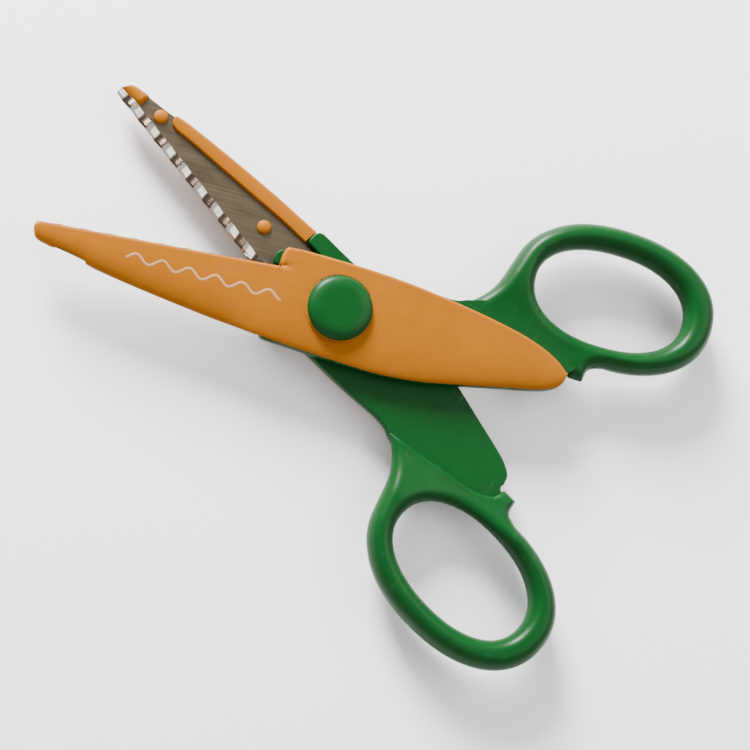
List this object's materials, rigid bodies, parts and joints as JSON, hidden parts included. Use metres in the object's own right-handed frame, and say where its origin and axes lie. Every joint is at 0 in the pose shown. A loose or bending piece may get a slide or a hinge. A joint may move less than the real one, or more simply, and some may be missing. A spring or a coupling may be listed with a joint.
{
  "type": "decorative edge scissors",
  "caption": "Wave-edge craft scissors: two ringed handles with covered corrugated steel blades, hinged on a capped pivot.",
  "frame": {"origin": "on the pivot axis, in the flat centre of the rear pivot cap, which the scissors rest on", "axes": "+Z along the pivot axis towards the front cap; +X from the pivot towards the handles, midway between the two closing lines; +Y towards the front handle's ring"},
  "size_m": [0.1563, 0.117, 0.0148],
  "materials": {
    "green_plastic": "glossy moulded plastic",
    "orange_plastic": "satin moulded plastic",
    "blade_steel": "satin rolled steel",
    "rivet_steel": "turned steel",
    "washer_nylon": "natural nylon"
  },
  "bodies": {
    "rear_half": {"rear_handle": "green_plastic", "rear_blade_cover": "orange_plastic", "rear_blade": "blade_steel", "rear_pivot_cap": "green_plastic", "rear_rivet_washer": "rivet_steel", "pivot_rivet": "rivet_steel", "pivot_friction_washer": "washer_nylon"},
    "front_half": {"front_handle": "green_plastic", "front_blade_cover": "orange_plastic", "front_blade": "blade_steel", "front_pivot_cap": "green_plastic", "front_rivet_washer": "rivet_steel"}
  },
  "joints": [
    {"name": "blade_pivot", "type": "hinge", "parent": "rear_half", "child": "front_half", "pos_m": [0, 0, 0.0074], "axis": [0, 0, 1], "range_deg": [-31.6, 75]}
  ]
}
